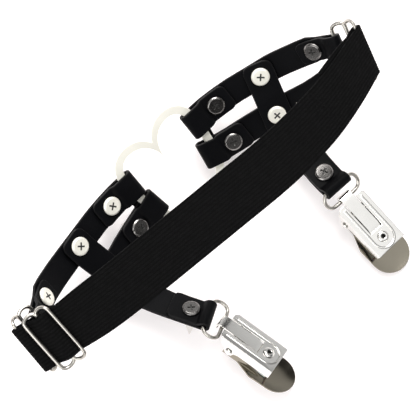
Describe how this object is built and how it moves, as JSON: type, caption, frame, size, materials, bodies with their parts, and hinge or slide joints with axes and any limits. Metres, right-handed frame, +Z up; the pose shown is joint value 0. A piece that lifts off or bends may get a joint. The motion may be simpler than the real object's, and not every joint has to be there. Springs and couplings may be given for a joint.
{
  "type": "thigh harness",
  "caption": "Leather thigh harness lying studs down: forked straps joined by a heart ring, spiked studs, two garter drops with lever clips, and a wide elastic with slides.",
  "frame": {"origin": "on the surface it lies on, under the middle of its bounding box", "axes": "+X along the elastic towards the right end slide, +Y from the clips towards the upper straps, +Z up"},
  "size_m": [0.2046, 0.1315, 0.0745],
  "materials": {
    "leather": "smooth fine grain, soft sheen",
    "elastic": "ribbed woven elastic, matte",
    "nickel": "polished nickel plate",
    "lever": "polished dark nickel plate",
    "pad": "satin moulded"
  },
  "bodies": {
    "harness": {"heart_ring": "nickel", "elastic_band": "elastic", "adjuster_slider": "nickel", "left_end_slide": "nickel", "right_end_slide": "nickel", "left_front_leather": "leather", "left_drop_strap": "leather", "left_upper_heart_screw": "nickel", "left_upper_heart_spike": "nickel", "left_upper_drop_screw": "nickel", "left_upper_drop_spike": "nickel", "left_upper_slide_screw": "nickel", "left_upper_slide_spike": "nickel", "left_lower_heart_screw": "nickel", "left_lower_heart_spike": "nickel", "left_lower_drop_screw": "nickel", "left_lower_drop_spike": "nickel", "left_clip_screw": "nickel", "left_clip_spike": "nickel", "left_clip_ring": "nickel", "left_clip_body": "nickel", "left_clip_tongue": "nickel", "left_clip_eyelet": "nickel", "left_clip_pin": "nickel", "right_front_leather": "leather", "right_drop_strap": "leather", "right_upper_heart_screw": "nickel", "right_upper_heart_spike": "nickel", "right_upper_drop_screw": "nickel", "right_upper_drop_spike": "nickel", "right_upper_slide_screw": "nickel", "right_upper_slide_spike": "nickel", "right_lower_heart_screw": "nickel", "right_lower_heart_spike": "nickel", "right_lower_drop_screw": "nickel", "right_lower_drop_spike": "nickel", "right_clip_screw": "nickel", "right_clip_spike": "nickel", "right_clip_ring": "nickel", "right_clip_body": "nickel", "right_clip_tongue": "nickel", "right_clip_eyelet": "nickel", "right_clip_pin": "nickel"},
    "left_lever": {"left_clip_lever": "lever", "left_clip_pad": "pad"},
    "right_lever": {"right_clip_lever": "lever", "right_clip_pad": "pad"}
  },
  "joints": [
    {"name": "left_lever_hinge", "type": "hinge", "parent": "harness", "child": "left_lever", "pos_m": [-0.02898, -0.03291, 0.0107], "axis": [0.8162, 0.1865, -0.5468], "range_deg": [0, 95]},
    {"name": "right_lever_hinge", "type": "hinge", "parent": "harness", "child": "right_lever", "pos_m": [0.05102, -0.02726, 0.00889], "axis": [0.9877, 0.0285, -0.1536], "range_deg": [0, 95]}
  ]
}
